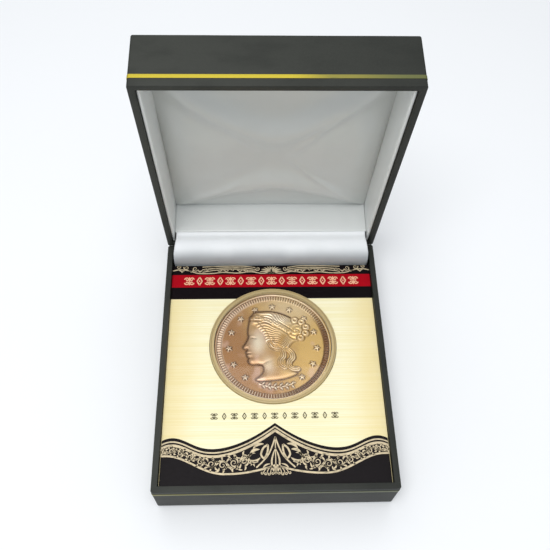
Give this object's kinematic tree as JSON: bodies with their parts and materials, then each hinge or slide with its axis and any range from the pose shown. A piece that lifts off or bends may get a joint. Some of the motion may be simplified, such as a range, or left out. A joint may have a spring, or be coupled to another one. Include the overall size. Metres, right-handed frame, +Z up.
{
  "type": "hinged coin presentation case",
  "caption": "Hinged leatherette case with a satin-lined lid on a strip hinge, and a printed card that frames a coin in a clear two-part capsule.",
  "frame": {"origin": "on the table under the middle of the base, on the underside of the foot sheet", "axes": "+Z up; -Y towards the front, the side that opens; +Y towards the hinge; +X to the right seen from the front"},
  "size_m": [0.0702, 0.0978, 0.1001],
  "materials": {
    "leatherette": "fine-grained dark leatherette",
    "shell_plastic": "moulded black plastic",
    "gold_foil": "hot-stamped gold foil",
    "foot_paper": "dark lining paper",
    "white_foam": "light foam",
    "black_board": "black card board",
    "printed_card": "printed silk-finish card",
    "clear_acrylic": "clear moulded acrylic",
    "bronze": "struck bronze-toned metal",
    "steel": "zinc-plated steel",
    "white_satin": "white satin",
    "grey_board": "grey card board"
  },
  "bodies": {
    "base": {"base_shell": "shell_plastic", "base_wrap": "leatherette", "base_foil_line": "gold_foil", "foot_sheet": "foot_paper", "base_hinge_leaf": "steel", "base_rivet_left": "steel", "base_rivet_right": "steel", "hinge_pin": "steel", "insert_block": "white_foam", "insert_board": "black_board", "printed_card": "printed_card", "hinge_cloth": "white_satin", "hinge_spring_left": "steel", "hinge_spring_right": "steel"},
    "lid": {"lid_shell": "shell_plastic", "lid_wrap": "leatherette", "lid_foil_line": "gold_foil", "lid_hinge_leaf": "steel", "lid_rivet_left": "steel", "lid_rivet_right": "steel", "lid_pad_board": "grey_board", "lid_foam": "white_foam", "lid_satin": "white_satin", "lid_lining_left": "white_satin", "lid_lining_right": "white_satin", "lid_lining_front": "white_satin", "lid_lining_back": "white_satin"},
    "tray": {"capsule_tray": "clear_acrylic"},
    "cap": {"capsule_cap": "clear_acrylic"},
    "coin_body": {"coin": "bronze"}
  },
  "joints": [
    {"name": "lid_hinge", "type": "hinge", "parent": "base", "child": "lid", "pos_m": [0, 0.04125, 0.0163], "axis": [1, 0, 0], "range_deg": [0, 82], "deforming": ["hinge_cloth", "hinge_spring_left", "hinge_spring_right"]},
    {"name": "capsule_lift", "type": "slide", "parent": "base", "child": "tray", "axis": [0, 0, 1], "range_m": [0, 0.0055]},
    {"name": "cap_lift", "type": "slide", "parent": "tray", "child": "cap", "axis": [0, 0, 1], "range_m": [0, 0.004]},
    {"name": "coin_lift", "type": "slide", "parent": "tray", "child": "coin_body", "axis": [0, 0, 1], "range_m": [0, 0.002]}
  ],
  "couplings": [
    {"joint": "coin_lift", "follows": "cap_lift", "ratio": 0.5}
  ]
}
